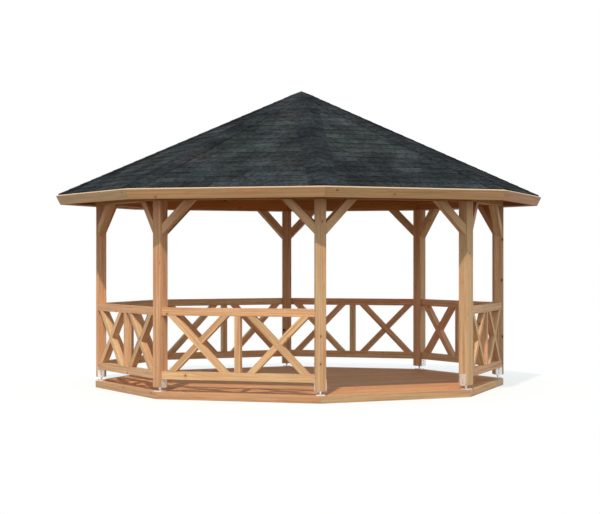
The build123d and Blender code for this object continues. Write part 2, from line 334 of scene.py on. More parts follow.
# %% Tell the solids of a node apart, and their grain
WELD = 0.00001  # corners nearer than this are one corner


def merged_copy(node):
    """A node's loose triangles as a closed mesh that can be edited."""
    bm = bmesh.new()
    bm.from_mesh(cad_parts[node].data)
    bmesh.ops.remove_doubles(bm, verts=bm.verts, dist=WELD)
    return bm


def islands(bm):
    """The separate solids of a mesh, as lists of vertices."""
    left = set(bm.verts)
    found = []
    for start in bm.verts:
        if start not in left:
            continue
        left.discard(start)
        group = []
        waiting = [start]
        while waiting:
            vertex = waiting.pop()
            group.append(vertex)
            for edge in vertex.link_edges:
                other = edge.other_vert(vertex)
                if other in left:
                    left.discard(other)
                    waiting.append(other)
        found.append(group)
    return found


TIE_LINE = Vector((0.31, 0.57, 0.76))  # no timber lies square to it


def largest(elements, size):
    """The largest edge or face, and of equal ones always the one furthest along one line."""
    sizes = [(element, size(element)) for element in elements]
    least = 0.9999 * max(value for _, value in sizes)
    equals = [element for element, value in sizes if value > least]
    return max(equals, key=lambda one: sum(v.co.dot(TIE_LINE) for v in one.verts) / len(one.verts))


def timber_axes(group):
    """Lengthwise, crosswise and depthwise directions of one solid."""
    edges = {edge for vertex in group for edge in vertex.link_edges}
    longest = largest(edges, lambda edge: edge.calc_length())
    along = (longest.verts[1].co - longest.verts[0].co).normalized()
    along = along if along.dot(TIE_LINE) > 0 else -along
    faces = {face for vertex in group for face in vertex.link_faces}
    # a face counts for less the more it is an end
    broad = largest(faces, lambda face: face.calc_area() * (1 - abs(face.normal.dot(along)))).normal
    deep = (broad - along * broad.dot(along)).normalized()
    return along, deep.cross(along), deep


joists = merged_copy("deck_joists")
print("joists in the frame", len(islands(joists)))
joists.free()

# %% Ease the arrises of a copy and mark its timbers
FLAT = radians(0.5)  # faces that meet at less than this are one face
SHARP = radians(12)  # an edge that turns by more than this is eased
END_FACING = 0.6  # a face that looks this much along the timber is an end
UP_FACING = 0.7  # a face that looks this much upwards gets painted sunlight


def placed(name, data):
    """A new object in the scene, for a mesh, a lamp or a camera."""
    thing = bpy.data.objects.new(name, data)
    bpy.context.scene.collection.objects.link(thing)
    return thing


def placed_bmesh(name, bm):
    """The same for a mesh that was edited, which is let go afterwards."""
    mesh = bpy.data.meshes.new(name)
    bm.to_mesh(mesh)
    bm.free()
    return placed(name, mesh)


def eased_copy(name, node, arris, batch="", segments=2):
    """A merged copy of a node with rounded arrises, and the marks that the timber needs."""
    bm = merged_copy(node)
    bmesh.ops.dissolve_limit(bm, angle_limit=FLAT, verts=bm.verts, edges=bm.edges)
    bm.normal_update()
    number = bm.verts.layers.int.new("solid")
    axes = []
    for index, group in enumerate(islands(bm)):
        axes.append(timber_axes(group))
        for vertex in group:
            vertex[number] = index
    sharp = [edge for edge in bm.edges if edge.is_manifold and edge.calc_face_angle() > SHARP]
    rounding = {"offset": arris, "segments": segments, "profile": 0.6, "clamp_overlap": True}
    eased = set(bmesh.ops.bevel(bm, geom=sharp, affect="EDGES", **rounding)["faces"])
    bm.normal_update()

    grain = bm.verts.layers.float_vector.new("grain")
    tone = bm.verts.layers.float.new("tone")
    endgrain = bm.faces.layers.float.new("endgrain")
    arris_highlight = bm.faces.layers.float.new("arris")
    sunlit_top = bm.faces.layers.float.new("sunlit_top")
    chance = Random(name + batch)
    for group in islands(bm):
        along, across, deep = axes[group[0][number]]
        middle = sum((vertex.co for vertex in group), Vector()) / len(group)
        # how far the timber was cut from the foot of its tree, and from the pith
        pith = Vector([chance.uniform(*span) for span in ((2, 60), (-0.05, 0.05), (0.035, 0.11))])
        shade = chance.random()
        for vertex in group:
            offset = vertex.co - middle
            vertex[grain] = Vector((offset.dot(along), offset.dot(across), offset.dot(deep))) + pith
            vertex[tone] = shade
        for face in {face for vertex in group for face in vertex.link_faces}:
            face[endgrain] = 1.0 if abs(face.normal.dot(along)) > END_FACING else 0.0
            # eased faces are marked for a painted highlight
            face[arris_highlight] = 1.0 if face in eased else 0.0
            # upward faces are marked for painted sunlight
            face[sunlit_top] = 1.0 if face.normal.z > UP_FACING else 0.0
    return placed_bmesh(name, bm)


def finish_piece(piece, material, nodes=()):
    """Gives a finished piece its material and its body, and hides the nodes that it stands for."""
    piece.data.materials.clear()
    piece.data.materials.append(material)
    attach(piece, "root")
    if nodes:
        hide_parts(*nodes)
    return piece


print("edges that turn by more than", round(SHARP * 180 / pi), "degrees are eased")

# %% Dress the timbers
SIDE_NAMES = ["right", "back_right", "back", "back_left", "left", "front_left", "front", "front_right"]
RAILED = [side for side in SIDE_NAMES if side != "front"]
BATCHES = {"post": " 5", "railing": " 6", "fascia": " 6"}  # cut from other trees, with other knots
dressed = 0
for material, slot, arris, nodes in [
    (edge_timber, "deck_timber", 0.003, ["deck_edge", "deck_joists"]),
    (post_timber, "post_timber", 0.0012, [f"post_{n}" for n in range(1, SIDES + 1)]),
    (post_timber, "post_timber", 0.003, ["knee_braces_" + side for side in SIDE_NAMES]),
    (railing_timber, "railing_timber", 0.003, ["railing_" + side for side in RAILED]),
    (frame_timber, "frame_timber", 0.004, ["ring_beam_" + side for side in SIDE_NAMES]),
    (frame_timber, "frame_timber", 0.003, ["hip_rafters", "mid_rafters", "apex_block"]),
    (fascia_timber, "fascia_timber", 0.0025, ["fascia"]),
]:
    for node in nodes:
        batch = BATCHES.get(node.split("_")[0], "")
        finish_piece(eased_copy(node + "_timber", node, arris, batch), material, [node])
        dressed += 1
print("eased timbers for", dressed, "nodes")

# %% [markdown]
# ## Growing pieces with Geometry Nodes
# Boards, shingles and screws repeat by a rule, which is what Geometry Nodes are for: a row of
# points, one shape on each, a little chance, and the shape of the roof pressed on the result.
# The helper gives a tree its named sizes, grows it once, keeps the plain mesh and throws the
# modifier away, because instances and live modifiers don't travel with an exported model.

# %% A helper that grows a tree and keeps the mesh


def grow(name, build, sizes, material, start=None):
    """Builds a Geometry Nodes tree with named sizes and gives back its result as a mesh object."""
    tree = bpy.data.node_groups.new(name + "_tree", "GeometryNodeTree")
    tree.interface.new_socket("Geometry", in_out="OUTPUT", socket_type="NodeSocketGeometry")
    tree.interface.new_socket("Geometry", in_out="INPUT", socket_type="NodeSocketGeometry")
    for key, value in sizes.items():
        kind = "NodeSocketInt" if isinstance(value, int) else "NodeSocketFloat"
        tree.interface.new_socket(key, in_out="INPUT", socket_type=kind)
    recipe = Recipe(tree)
    given = tree.nodes.new("NodeGroupInput")
    size = {key: given.outputs[key] for key in sizes}
    shape = build(recipe, size, given.outputs["Geometry"])
    shape = recipe.add("GeometryNodeRealizeInstances", {"Geometry": shape})
    shape = recipe.add("GeometryNodeSetMaterial", {"Geometry": shape, "Material": material})
    end = tree.nodes.new("NodeGroupOutput")
    tree.links.new(shape, end.inputs["Geometry"])

    piece = placed(name, start or bpy.data.meshes.new(name + "_start"))
    modifier = piece.modifiers.new("grow", "NODES")
    modifier.node_group = tree
    for socket in tree.interface.items_tree:
        if socket.in_out == "INPUT" and socket.name in sizes:
            modifier[socket.identifier] = sizes[socket.name]
    bpy.context.view_layer.update()
    evaluated = piece.evaluated_get(bpy.context.evaluated_depsgraph_get())
    grown = bpy.data.meshes.new_from_object(evaluated)
    grown.name = name
    piece.modifiers.remove(modifier)
    piece.data = grown
    triangles = sum(len(face.vertices) - 2 for face in grown.polygons)
    print(f"{name}: {len(grown.polygons)} faces, {triangles} triangles")
    return piece


print("ready to grow pieces")

# %% Attributes and chance in a tree


def store(r, geometry, name, value, kind="FLOAT", domain="POINT"):
    inputs = {"Geometry": geometry, "Name": name, "Value": value}
    return r.add("GeometryNodeStoreNamedAttribute", inputs, data_type=kind, domain=domain)


def named(r, name, kind="FLOAT"):
    return r.add("GeometryNodeInputNamedAttribute", {"Name": name}, data_type=kind)


def position(r):
    return r.add("GeometryNodeInputPosition")


def chance_of(r, number, low, high, seed, kind="FLOAT"):
    """A random value for each number, or for each point if no number is given."""
    node = r.tree.nodes.new("FunctionNodeRandomValue")
    node.data_type = kind
    first = 0 if kind == "FLOAT_VECTOR" else 2
    node.inputs[first].default_value = low
    node.inputs[first + 1].default_value = high
    node.inputs["Seed"].default_value = seed
    if number is not None:
        r.tree.links.new(number, node.inputs["ID"])
    return node.outputs[0 if kind == "FLOAT_VECTOR" else 1]


def chance_of_solid(r, low, high, seed, kind="FLOAT"):
    """A random value that is the same all over one loose solid."""
    solid = r.add("GeometryNodeInputMeshIsland", out="Island Index")
    return chance_of(r, solid, low, high, seed, kind)


def own_tree(r, boards, seed):
    """Cuts each board from a tree of its own: moves its grain and draws its tone."""
    moved = chance_of_solid(r, (2.0, -0.05, 0.03), (60.0, 0.05, 0.10), seed, "FLOAT_VECTOR")
    grain = r.vector("ADD", named(r, "grain", "FLOAT_VECTOR"), moved)
    boards = store(r, boards, "grain", grain, "FLOAT_VECTOR")
    return store(r, boards, "tone", chance_of_solid(r, 0.0, 1.0, seed + 1))


print("every draw of chance has a fixed seed")

# %% Boards, rows and cuts in a tree


def copies_on(r, points, shape, **turned):
    """One copy of a shape on each point, as real geometry."""
    copies = {"Points": points, "Instance": shape, **turned}
    copies = r.add("GeometryNodeInstanceOnPoints", copies)
    return r.add("GeometryNodeRealizeInstances", {"Geometry": copies})


def row_of(r, count, shape, start, step):
    """A row of copies of a shape."""
    row = {"Count": count, "Start Location": start, "Offset": step}
    return copies_on(r, r.add("GeometryNodeMeshLine", row), shape)


def all_round(r, shape, first_turn=0.0):
    """Eight copies of a shape round the centre line, which know the slope they are on."""
    points = r.add("GeometryNodeMeshLine", {"Count": SIDES, "Offset": (0.0, 0.0, 0.0)})
    index = r.add("GeometryNodeInputIndex")
    points = store(r, points, "slope", index)
    turn = r.math("MULTIPLY_ADD", index, 2 * HALF_TURN, first_turn)
    return copies_on(r, points, shape, Rotation=r.combine(0.0, 0.0, turn))


def together(r, *shapes):
    """Several shapes as one."""
    join = r.tree.nodes.new("GeometryNodeJoinGeometry")
    for shape in shapes:
        r.tree.links.new(shape, join.inputs[0])
    return join.outputs[0]


def moved_to(r, shape, x, y, z):
    """The shape with each of its points at a new place."""
    place = {"Geometry": shape, "Position": r.combine(x, y, z)}
    return r.add("GeometryNodeSetPosition", place)


def swept(r, path, outline):
    """A closed solid that follows a path."""
    drawn = {"Curve": path, "Profile Curve": outline, "Fill Caps": True}
    return r.add("GeometryNodeCurveToMesh", drawn)


def board(r, length, width, thickness, round_off, steps=1):
    """A board along X with rounded long edges, centred on its own middle."""
    outline = r.add("GeometryNodeCurvePrimitiveQuadrilateral", {"Width": width, "Height": thickness})
    fillet = {"Curve": outline, "Radius": round_off, "Count": steps}
    outline = r.add("GeometryNodeFilletCurve", fillet, mode="POLY")
    half = r.math("DIVIDE", length, 2.0)
    back = r.math("MULTIPLY", half, -1.0)
    ends = {"Start": r.combine(back), "End": r.combine(half)}
    spine = r.add("GeometryNodeCurvePrimitiveLine", ends)
    return swept(r, spine, outline)


def joined(r, shape):
    """Joins the points of each solid that came to lie on each other, and leaves its neighbours."""
    near = {"Geometry": shape, "Distance": 0.00003}
    return r.add("GeometryNodeMergeByDistance", near, mode="CONNECTED")


def limit_between(r, value, reach):
    """The value, held between minus reach and reach."""
    return r.math("MAXIMUM", r.math("MINIMUM", value, reach), r.math("MULTIPLY", reach, -1.0))


def cut_to_hips(r, shape, x, y, z, seam):
    """Slides every point that lies past a hip along its row to the hip, and joins what meets."""
    # a point over or under the slope moves out or in once it is tipped, and its hip with it
    out = r.math("MULTIPLY_ADD", z, sin(pitch), r.math("MULTIPLY", x, cos(pitch)))
    reach = r.math("MULTIPLY_ADD", out, tan(HALF_TURN), r.math("MULTIPLY", seam, -1.0))
    y = limit_between(r, y, r.math("MAXIMUM", reach, 0.0))
    return joined(r, moved_to(r, shape, x, y, z))


def tip_and_turn(r, slope):
    """Tips a flat slope to the roof's pitch and copies it to all eight sides."""
    tipped = {"Geometry": slope, "Rotation": (0.0, pitch, 0.0)}
    tipped["Translation"] = (0.0, 0.0, boards_top_apex)
    return all_round(r, r.add("GeometryNodeTransform", tipped))


print("rows, cuts and copies for", SIDES, "sides")


# %% [markdown]
# ## The deck
# The floor is a row of planed boards with a drainage gap between them, laid parallel to the
# entrance and cut to the octagon. One board is drawn, repeated along Y, and then every point
# that lies outside the octagon is slid along its board to the edge, which leaves the slanting
# saw cuts at the corners. A Boolean cut would do the same with far more work for the computer.

# %% Deck boards
DECK_BOARDS = 38
DECK_GAP = 0.005
DECK_ROUND_OFF = 0.003
DECK_PLAY = 0.0015  # short of the slab's edge, all round
OVERLENGTH = 2.1  # in half widths; the cut takes what sticks out
deck_reach = slab_high.x - DECK_PLAY


def deck_tree(r, size, _):
    half = size["Half width"]
    pitch_y = r.math("DIVIDE", r.math("MULTIPLY", half, 2.0), size["Boards"])
    width = r.math("SUBTRACT", pitch_y, size["Gap"])
    length = r.math("MULTIPLY", half, OVERLENGTH)
    one = board(r, length, width, size["Thickness"], size["Round off"], 2)
    one = store(r, one, "grain", position(r), "FLOAT_VECTOR")
    first = r.math("MULTIPLY_ADD", pitch_y, 0.5, r.math("MULTIPLY", half, -1.0))
    middle = r.math("MULTIPLY_ADD", size["Thickness"], -0.5, size["Top"])
    start = r.combine(0.0, first, middle)
    boards = row_of(r, size["Boards"], one, start, r.combine(0.0, pitch_y))
    x, y, z = r.separate(position(r))
    corner = r.math("MULTIPLY", half, sqrt(2))
    reach = r.math("MINIMUM", half, r.math("SUBTRACT", corner, r.math("ABSOLUTE", y)))
    boards = moved_to(r, boards, limit_between(r, x, reach), y, z)
    # the grain runs on along the cut board, so it is read again from where the points are now
    _, across, deep = r.separate(named(r, "grain", "FLOAT_VECTOR"))
    along, _, _ = r.separate(position(r))
    boards = store(r, boards, "grain", r.combine(along, across, deep), "FLOAT_VECTOR")
    return own_tree(r, boards, 11)


deck_sizes = {"Half width": deck_reach, "Boards": DECK_BOARDS, "Gap": DECK_GAP}
deck_sizes.update({"Thickness": slab_high.z - slab_low.z, "Top": slab_high.z})
deck_sizes["Round off"] = DECK_ROUND_OFF
planks = grow("deck_planks", deck_tree, deck_sizes, deck_timber)
finish_piece(planks, deck_timber, ["deck_boards"])

# %% [markdown]
# ## The roof boarding
# From inside the gazebo the roof is a ceiling of boards that run level round each slope. They
# are laid out flat, as if the slope were a triangular floor: each board is cut to the two hips
# by sliding its end points in, then the whole slope is tipped to its pitch, lifted to the apex
# and copied round the eight sides.

# %% Roof boards
ROOF_BOARDS = 25
ROOF_GAP = 0.0016
ROOF_ROUND_OFF = 0.0035


def roof_board_tree(r, size, _):
    width = r.math("DIVIDE", size["Slope length"], size["Boards"])
    seen = r.math("SUBTRACT", width, size["Gap"])
    length = r.math("MULTIPLY", size["Slope length"], 2.0)
    one = board(r, length, seen, size["Thickness"], size["Round off"])
    one = r.add("GeometryNodeTransform", {"Geometry": one, "Rotation": (0.0, 0.0, pi / 2)})
    one = store(r, one, "grain", position(r), "FLOAT_VECTOR")
    under = r.math("MULTIPLY", size["Thickness"], -0.5)
    start = r.combine(r.math("MULTIPLY", width, 0.5), 0.0, under)
    boards = row_of(r, size["Boards"], one, start, r.combine(width))
    x, y, z = r.separate(position(r))
    boards = cut_to_hips(r, boards, x, y, z, r.math("MULTIPLY", size["Gap"], 0.5))
    across, _, deep = r.separate(named(r, "grain", "FLOAT_VECTOR"))
    _, along, _ = r.separate(position(r))
    boards = store(r, boards, "grain", r.combine(along, across, deep), "FLOAT_VECTOR")
    return own_tree(r, tip_and_turn(r, boards), 21)


roof_sizes = {"Slope length": boards_end, "Boards": ROOF_BOARDS, "Gap": ROOF_GAP}
roof_sizes.update({"Thickness": roof_board_thickness, "Round off": ROOF_ROUND_OFF})
planks = grow("roof_planks", roof_board_tree, roof_sizes, boarding)
finish_piece(planks, boarding, ["roof_boards"])

# %% [markdown]
# ## The shingle finish
# A bitumen shingle is felt covered with crushed slate. Three things make it read as one: the
# grit itself, a shade that changes from one tab to the next because every batch differs, and
# broad faint patches over the slope. The grit is a cell pattern in the object's own space, so it
# never stretches, and each tab carries a random tone.

# %% Shingle grit
SLATE = colour(0.0256, 0.0275, 0.0303)
GREEN_SLATE = colour(0.0258, 0.0310, 0.0312)
BLUE_SLATE = colour(0.0223, 0.0250, 0.0308)
WARM_SLATE = colour(0.0291, 0.0266, 0.0282)


def shingle_material():
    material, r, shader = new_material("shingle")
    here = r.add("ShaderNodeTexCoord", out="Object")
    hue = attribute(r, "hue")
    grit = r.add("ShaderNodeTexVoronoi", {"Vector": here, "Scale": 520.0, "Randomness": 1.0}).node
    shade, sparkle, _ = r.separate(grit.outputs["Color"])
    mottle = r.noise(here, 60.0, 3.0, 0.6)
    patches = r.noise(here, 1.6, 3.0, 0.55)
    x, y, _ = r.separate(here)
    outwards = r.vector("LENGTH", r.combine(x, y), out="Value")
    base = r.mix(r.ramp(hue, 0.35, 0.90, 0.0, 0.8), SLATE, GREEN_SLATE)
    base = r.mix(r.ramp(hue, 0.20, 0.02, 0.0, 0.8), base, BLUE_SLATE)
    base = r.mix(r.ramp(patches, 0.50, 0.70, 0.0, 0.6), base, WARM_SLATE)
    base = r.mix(r.ramp(outwards, 2.15, 2.70, 0.0, 0.55), base, BLUE_SLATE)
    level = r.ramp(attribute(r, "tone"), 0.12, 0.88, 0.92, 1.50)
    level = r.math("MULTIPLY", level, r.ramp(r.noise(here, 2.3, 2.0), 0.36, 0.64, 0.78, 1.30))
    level = r.math("MULTIPLY", level, r.ramp(mottle, 0.30, 0.70, 0.72, 1.28, smooth=False))
    blotches = r.noise(here, 21.0, 2.0)
    level = r.math("MULTIPLY", level, r.ramp(blotches, 0.30, 0.70, 0.68, 1.36, smooth=False))
    # the grit is darker at the head of each tab, which draws a shadow under the next butt
    wavy = r.math("MULTIPLY_ADD", r.math("SUBTRACT", mottle, 0.5), 0.40, attribute(r, "fall"))
    depth = r.ramp(r.noise(here, 3.4, 2.0), 0.38, 0.62, 0.02, 0.23)
    shadow = r.math("MULTIPLY", r.ramp(wavy, 0.55, 1.00), depth)
    level = r.math("MULTIPLY", level, r.math("SUBTRACT", 1.0, shadow))
    level = r.math("MULTIPLY", level, r.ramp(attribute(r, "cut_edge"), 0.0, 1.0, 1.0, 0.88))
    level = r.math("MULTIPLY", level, r.ramp(shade, 0.0, 1.0, 0.60, 1.40, smooth=False))
    level = r.math("MULTIPLY_ADD", r.ramp(sparkle, 0.93, 0.97), 1.0, level)
    base = r.mix(1.0, base, r.combine(level, level, level), "MULTIPLY")
    height = r.math("ADD", grit.outputs["Distance"], r.math("MULTIPLY", mottle, 0.6))
    bump = r.add("ShaderNodeBump", {"Strength": 0.8, "Distance": 0.0012, "Height": height})
    gloss = r.ramp(shade, 0.0, 1.0, 0.82, 0.97, smooth=False)
    r.fill(shader, {"Base Color": base, "Roughness": gloss, "Specular IOR Level": 0.0})
    r.fill(shader, {"Normal": bump})
    return material


shingle = shingle_material()
print("shingle material made")

# %% [markdown]
# ## Shingle courses
# Shingles are laid from the eave up, each course covering the head of the one below and set
# over by half a tab. The tree makes a grid of points on the flat slope, drops those past the
# hips, puts one thin tab on each with its butt lifted on the course below, frays the butts a
# little, cuts the tabs to the hips and folds the slope up like the boards. A sheet of felt under
# them closes the slots, and thickens into the starter strip at the eave. The courses could be a
# bump pattern, but then the eaves and the low sun would show no steps.

# %% One tab, and the felt under all of them
EXPOSURE = 0.143
TAB_WIDTH = 0.333
TAB_THICKNESS = 0.0036
TAB_SLOT = 0.0035
HIP_SEAM = 0.0004  # what keeps the two slopes apart at a hip, and two rows of caps in mid slope
LAP_PLAY = 0.0002  # between a butt and the head that it lies on
FELT_THICKNESS = 0.0006
FELT_START = 0.01  # from the apex, under its cap
FELT_PLAY = 0.001  # short of the shingles' edge at the eave
TAB_BED = 0.0007  # where the heads lie, just clear of the felt
BLOCK_HALF = 0.25  # tells the corners of a unit block from its middle


def tab_shape(r, size, across, points_across):
    """One flat tab along X that knows its head from its butt and its grit from its cut edges."""
    box = {"Size": r.combine(size["Exposure"], across, size["Thickness"])}
    box.update({"Vertices X": 2, "Vertices Y": points_across, "Vertices Z": 2})
    tab = r.add("GeometryNodeMeshCube", box, out="Mesh")
    x, _, _ = r.separate(position(r))
    _, _, upright = r.separate(r.add("GeometryNodeInputNormal"))
    is_edge = r.math("LESS_THAN", r.math("ABSOLUTE", upright), 0.5)
    tab = store(r, tab, "cut_edge", is_edge, domain="FACE")
    return store(r, tab, "fall", r.math("LESS_THAN", x, 0.0))


def felt(r, size):
    """A thin sheet from the apex to the eave, with a wedge under the first course."""
    sheet = {"Size": (1.0, 1.0, 1.0), "Vertices X": 3, "Vertices Y": 2, "Vertices Z": 2}
    slab = r.add("GeometryNodeMeshCube", sheet, out="Mesh")
    x, y, z = r.separate(position(r))
    past_head = r.math("GREATER_THAN", x, -BLOCK_HALF)
    at_eave = r.math("GREATER_THAN", x, BLOCK_HALF)
    wedge_start = r.math("SUBTRACT", size["Slope end"], size["Exposure"])
    sheet_end = r.math("SUBTRACT", wedge_start, FELT_START)
    x = r.math("MULTIPLY_ADD", past_head, sheet_end, FELT_START)
    x = r.math("MULTIPLY_ADD", at_eave, r.math("SUBTRACT", size["Exposure"], FELT_PLAY), x)
    wedge = r.math("SUBTRACT", size["Thickness"], 0.0003)  # just clear of the first butts
    thick = r.math("MULTIPLY_ADD", at_eave, wedge, FELT_THICKNESS)
    z = r.math("MULTIPLY", r.math("GREATER_THAN", z, 0.0), thick)
    wide = r.math("MULTIPLY", y, 20.0)  # far past both hips, which it is then cut to
    return cut_to_hips(r, slab, x, wide, z, HIP_SEAM)


print("tabs", TAB_WIDTH, "m wide, courses", EXPOSURE, "m apart")

# %% Where the tabs lie
COURSES = int(shingle_end / EXPOSURE)
TABS_ACROSS = 2 * int(shingle_end * cos(pitch) * tan(HALF_TURN) / TAB_WIDTH) + 5
TABS_PER_STRIP = 3.0
WANDER = 0.045
NARROWEST_TAB = 0.012


def tab_points(r, size):
    """A point for each tab of a flat slope, half a tab over in every other course."""
    exposure, tab_width = size["Exposure"], size["Tab width"]
    height = r.math("MULTIPLY", exposure, COURSES - 1.0)
    grid_size = {"Size X": height, "Size Y": r.math("MULTIPLY", tab_width, TABS_ACROSS - 1.0)}
    grid_size.update({"Vertices X": COURSES, "Vertices Y": TABS_ACROSS})
    grid = r.add("GeometryNodeMeshGrid", grid_size)
    x, y, _ = r.separate(position(r))
    lowest = r.math("MULTIPLY_ADD", exposure, -0.5, size["Slope end"])
    up = r.math("ADD", x, r.math("MULTIPLY_ADD", height, -0.5, lowest))
    course = r.math("ROUND", r.math("DIVIDE", r.math("SUBTRACT", lowest, up), exposure))
    half_tab = r.math("MULTIPLY", tab_width, 0.5)
    set_over = r.math("MULTIPLY", r.math("MODULO", course, 2.0), half_tab)
    # every course starts at a slightly different place, as a roofer's strips do
    wander = r.math("MULTIPLY", r.math("SINE", r.math("MULTIPLY", course, 2.4)), WANDER)
    along = r.math("ADD", r.math("ADD", y, set_over), wander)
    # three tabs are cut from one strip and share its shade; no strip has another's number
    place = r.math("DIVIDE", r.math("ADD", y, r.math("MULTIPLY", tab_width, 30.0)), tab_width)
    place = r.math("ADD", r.math("ROUND", place), course)
    strip = r.math("FLOOR", r.math("DIVIDE", place, TABS_PER_STRIP))
    grid = store(r, grid, "strip", r.math("MULTIPLY_ADD", course, 40.0, strip))
    points = moved_to(r, grid, up, along, 0.0)
    x, y, _ = r.separate(position(r))
    butt = r.math("MULTIPLY_ADD", exposure, 0.5, x)
    widest = r.math("MULTIPLY_ADD", butt, cos(pitch) * tan(HALF_TURN), half_tab)
    widest = r.math("SUBTRACT", widest, NARROWEST_TAB)
    past = {"Geometry": points, "Selection": r.math("GREATER_THAN", r.math("ABSOLUTE", y), widest)}
    return r.add("GeometryNodeDeleteGeometry", past, domain="POINT")


print(COURSES, "courses of up to", TABS_ACROSS, "tabs")

# %% Tabs and felt on all eight slopes
FRAY = 0.009  # how unevenly the butts are cut


def shingle_tree(r, size, _):
    tab = tab_shape(r, size, r.math("SUBTRACT", size["Tab width"], size["Slot"]), 7)
    tabs = copies_on(r, tab_points(r, size), tab)
    x, y, z = r.separate(position(r))
    at_butt = r.math("SUBTRACT", 1.0, named(r, "fall"))
    fray = r.noise(r.combine(r.math("MULTIPLY", x, 9.0), y, 0.0), 24.0, 3.0)
    frayed = r.math("MULTIPLY", r.math("SUBTRACT", fray, 0.5), FRAY)
    x = r.math("MINIMUM", r.math("ADD", x, r.math("MULTIPLY", frayed, at_butt)), size["Slope end"])
    lift = r.math("MULTIPLY", at_butt, r.math("ADD", size["Thickness"], LAP_PLAY))
    lift = r.math("MULTIPLY_ADD", size["Thickness"], 0.5, r.math("ADD", lift, TAB_BED))
    tabs = cut_to_hips(r, tabs, x, y, r.math("ADD", z, lift), HIP_SEAM)
    tabs = tip_and_turn(r, together(r, tabs, felt(r, size)))
    strip = r.math("MULTIPLY_ADD", named(r, "slope"), 3000.0, named(r, "strip"))
    hue = chance_of(r, strip, 0.0, 0.7, 31)
    tone = r.math("ADD", chance_of(r, strip, 0.0, 0.5, 32), chance_of_solid(r, 0.0, 0.5, 33))
    tabs = store(r, tabs, "hue", r.math("ADD", hue, chance_of_solid(r, 0.0, 0.3, 34)))
    return store(r, tabs, "tone", tone)


shingle_sizes = {"Slope end": shingle_end, "Exposure": EXPOSURE, "Tab width": TAB_WIDTH}
shingle_sizes.update({"Slot": TAB_SLOT, "Thickness": TAB_THICKNESS})
courses = grow("shingle_courses", shingle_tree, shingle_sizes, shingle)
finish_piece(courses, shingle, ["shingles"])

# %% [markdown]
# ## Hip caps
# Where two slopes meet, a tab is bent over the hip, and each tab covers the nail heads of the
# one below. They are drawn as a flat row along the hip, and every point is then folded down the
# two slopes. Near the apex eight rows meet, so each cap is trimmed to the middle of its slope,
# and at the eave the lowest cap is trimmed to the edge of the shingles.

# %% The directions of a hip
hip_pitch = atan2(tan(pitch) * cos(HALF_TURN), 1.0)
hip_along = Vector((cos(hip_pitch), 0.0, -sin(hip_pitch)))
slope_normal = Vector((sin(pitch) * cos(HALF_TURN), sin(pitch) * sin(HALF_TURN), cos(pitch)))
hip_across = slope_normal.cross(hip_along)
hip_across = hip_across * (1 if hip_across.y > 0 else -1)
out_of_slope = Vector((cos(HALF_TURN), sin(HALF_TURN), 0.0))
eave_out = shingle_end * cos(pitch)
hip_end = eave_out / hip_along.dot(out_of_slope)
slope_half_angle = atan2(tan(HALF_TURN) * cos(pitch), 1.0)
print("hips", round(hip_end, 3), "m long at", round(hip_pitch * 180 / pi, 2), "degrees")

# %% Caps folded over the eight hips
CAP_HALF_WIDTH = TAB_WIDTH / 2
CAP_THICKNESS = 0.0034
CAP_BED = 0.0082  # over the boards, clear of the butts of two courses
CAP_PLAY = 0.0005  # short of the edge of the shingles
CAPS = int(hip_end / EXPOSURE)


def cap_tree(r, size, _):
    exposure, thickness = size["Exposure"], size["Thickness"]
    last = r.combine(r.math("MULTIPLY_ADD", exposure, -0.5, size["Hip length"]))
    cap = tab_shape(r, size, r.math("MULTIPLY", size["Half width"], 2.0), 9)
    caps = row_of(r, size["Caps"], cap, last, r.combine(r.math("MULTIPLY", exposure, -1.0)))
    x, y, z = r.separate(position(r))
    at_butt = r.math("SUBTRACT", 1.0, named(r, "fall"))
    raised = r.math("MULTIPLY_ADD", thickness, 0.5, z)
    step = r.math("ADD", thickness, LAP_PLAY)
    raised = r.math("ADD", raised, r.math("MULTIPLY_ADD", at_butt, step, size["Bed"]))
    trim = r.math("MAXIMUM", r.math("MULTIPLY_ADD", x, tan(slope_half_angle), -HIP_SEAM), 0.0)
    y = limit_between(r, y, trim)
    away = r.math("ABSOLUTE", y)
    eave = r.math("MULTIPLY_ADD", away, -hip_across.dot(out_of_slope), size["Eave"])
    x = r.math("MINIMUM", x, r.math("DIVIDE", eave, hip_along.dot(out_of_slope)))
    folded_x = r.math("MULTIPLY_ADD", away, hip_across.x, r.math("MULTIPLY", x, hip_along.x))
    folded_y = r.math("MULTIPLY", y, hip_across.y)
    folded_z = r.math("MULTIPLY_ADD", away, hip_across.z, r.math("MULTIPLY", x, hip_along.z))
    caps = moved_to(r, caps, folded_x, folded_y, r.math("ADD", folded_z, raised))
    lifted = {"Geometry": joined(r, caps), "Translation": (0.0, 0.0, boards_top_apex)}
    caps = all_round(r, r.add("GeometryNodeTransform", lifted), HALF_TURN)
    caps = store(r, caps, "hue", chance_of_solid(r, 0.0, 0.12, 41))
    return store(r, caps, "tone", chance_of_solid(r, 0.10, 0.56, 42))


cap_sizes = {"Hip length": hip_end, "Exposure": EXPOSURE, "Caps": CAPS, "Bed": CAP_BED}
cap_sizes.update({"Half width": CAP_HALF_WIDTH, "Thickness": CAP_THICKNESS})
cap_sizes["Eave"] = eave_out - CAP_PLAY
finish_piece(grow("hip_caps", cap_tree, cap_sizes, shingle), shingle)

# %% [markdown]
# ## The apex cap
# Eight rows of caps can't meet in a point without leaving a hole, so a roofer closes the top
# with one eight-sided cap, creased along the hips. It is a fan of eight triangles with a turned
# down edge, given its thickness by closing the same fan underneath.

# %% One cap over the apex
APEX_CAP_RADIUS = 0.155
APEX_CAP_FALL = 0.375
APEX_CAP_THICKNESS = 0.0035
APEX_CAP_LIP = (0.004, 0.006)  # how far out and how far down the edge is turned
APEX_PLAY = 0.0003  # under the top of the frame's covering


